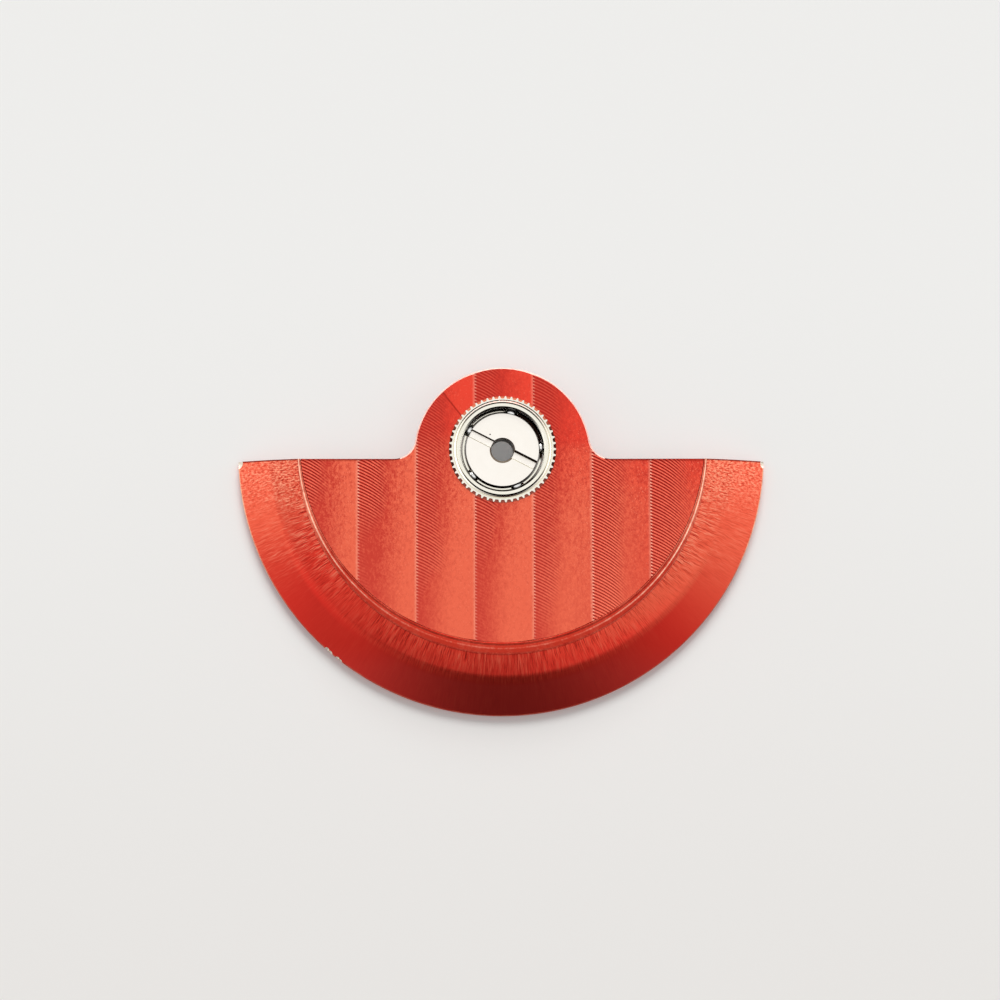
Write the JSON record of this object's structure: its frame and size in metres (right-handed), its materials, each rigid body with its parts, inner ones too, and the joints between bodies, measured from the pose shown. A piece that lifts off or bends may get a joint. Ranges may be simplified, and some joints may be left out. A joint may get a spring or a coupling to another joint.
{
  "type": "automatic watch rotor",
  "caption": "Half-disc oscillating weight with a striped plate, a bevelled heavy rim and a toothed ball bearing, which winds a watch as it swings.",
  "frame": {"origin": "on the rotor's axis, in the lower face of the bearing's inner ring, which sits on the movement", "axes": "+Z along the axis, out of the striped side; +Y towards the round lobe about the bearing; +X along the straight edge"},
  "size_m": [0.0266, 0.0174, 0.002],
  "materials": {
    "red_plate": "red lacquer over stripes cut by a turning tool",
    "red_weight": "red lacquer over a brushed bevel",
    "race_steel": "satin nickel-coloured steel",
    "nut_steel": "fine satin steel",
    "ball_steel": "polished bearing steel",
    "cage_brass": "pale stamped metal"
  },
  "bodies": {
    "rotor": {"carrier_plate": "red_plate", "weight_segment": "red_weight", "toothed_outer_race": "race_steel"},
    "inner_race": {"inner_race_core": "nut_steel", "slotted_race_nut": "nut_steel"},
    "cage": {"ball_cage": "cage_brass"},
    "ball_a": {"ball_1": "ball_steel"},
    "ball_b": {"ball_2": "ball_steel"},
    "ball_c": {"ball_3": "ball_steel"},
    "ball_d": {"ball_4": "ball_steel"},
    "ball_e": {"ball_5": "ball_steel"}
  },
  "joints": [
    {"name": "inner_race_spin", "type": "hinge", "parent": "rotor", "child": "inner_race", "pos_m": [0, 0, 0], "axis": [0, 0, 1], "continuous": true},
    {"name": "cage_spin", "type": "hinge", "parent": "rotor", "child": "cage", "pos_m": [0, 0, 0], "axis": [0, 0, 1], "continuous": true},
    {"name": "ball_a_spin", "type": "hinge", "parent": "cage", "child": "ball_a", "pos_m": [0.00195, 0.00016, 0.0008], "axis": [0, 0, 1], "continuous": true},
    {"name": "ball_b_spin", "type": "hinge", "parent": "cage", "child": "ball_b", "pos_m": [0.00045, 0.00191, 0.0008], "axis": [0, 0, 1], "continuous": true},
    {"name": "ball_c_spin", "type": "hinge", "parent": "cage", "child": "ball_c", "pos_m": [-0.00167, 0.00102, 0.0008], "axis": [0, 0, 1], "continuous": true},
    {"name": "ball_d_spin", "type": "hinge", "parent": "cage", "child": "ball_d", "pos_m": [-0.00149, -0.00128, 0.0008], "axis": [0, 0, 1], "continuous": true},
    {"name": "ball_e_spin", "type": "hinge", "parent": "cage", "child": "ball_e", "pos_m": [0.00075, -0.00181, 0.0008], "axis": [0, 0, 1], "continuous": true}
  ],
  "couplings": [
    {"joint": "cage_spin", "follows": "inner_race_spin", "ratio": 0.44228},
    {"joint": "ball_a_spin", "follows": "inner_race_spin", "ratio": -4.2733},
    {"joint": "ball_b_spin", "follows": "inner_race_spin", "ratio": -4.2733},
    {"joint": "ball_c_spin", "follows": "inner_race_spin", "ratio": -4.2733},
    {"joint": "ball_d_spin", "follows": "inner_race_spin", "ratio": -4.2733},
    {"joint": "ball_e_spin", "follows": "inner_race_spin", "ratio": -4.2733}
  ]
}
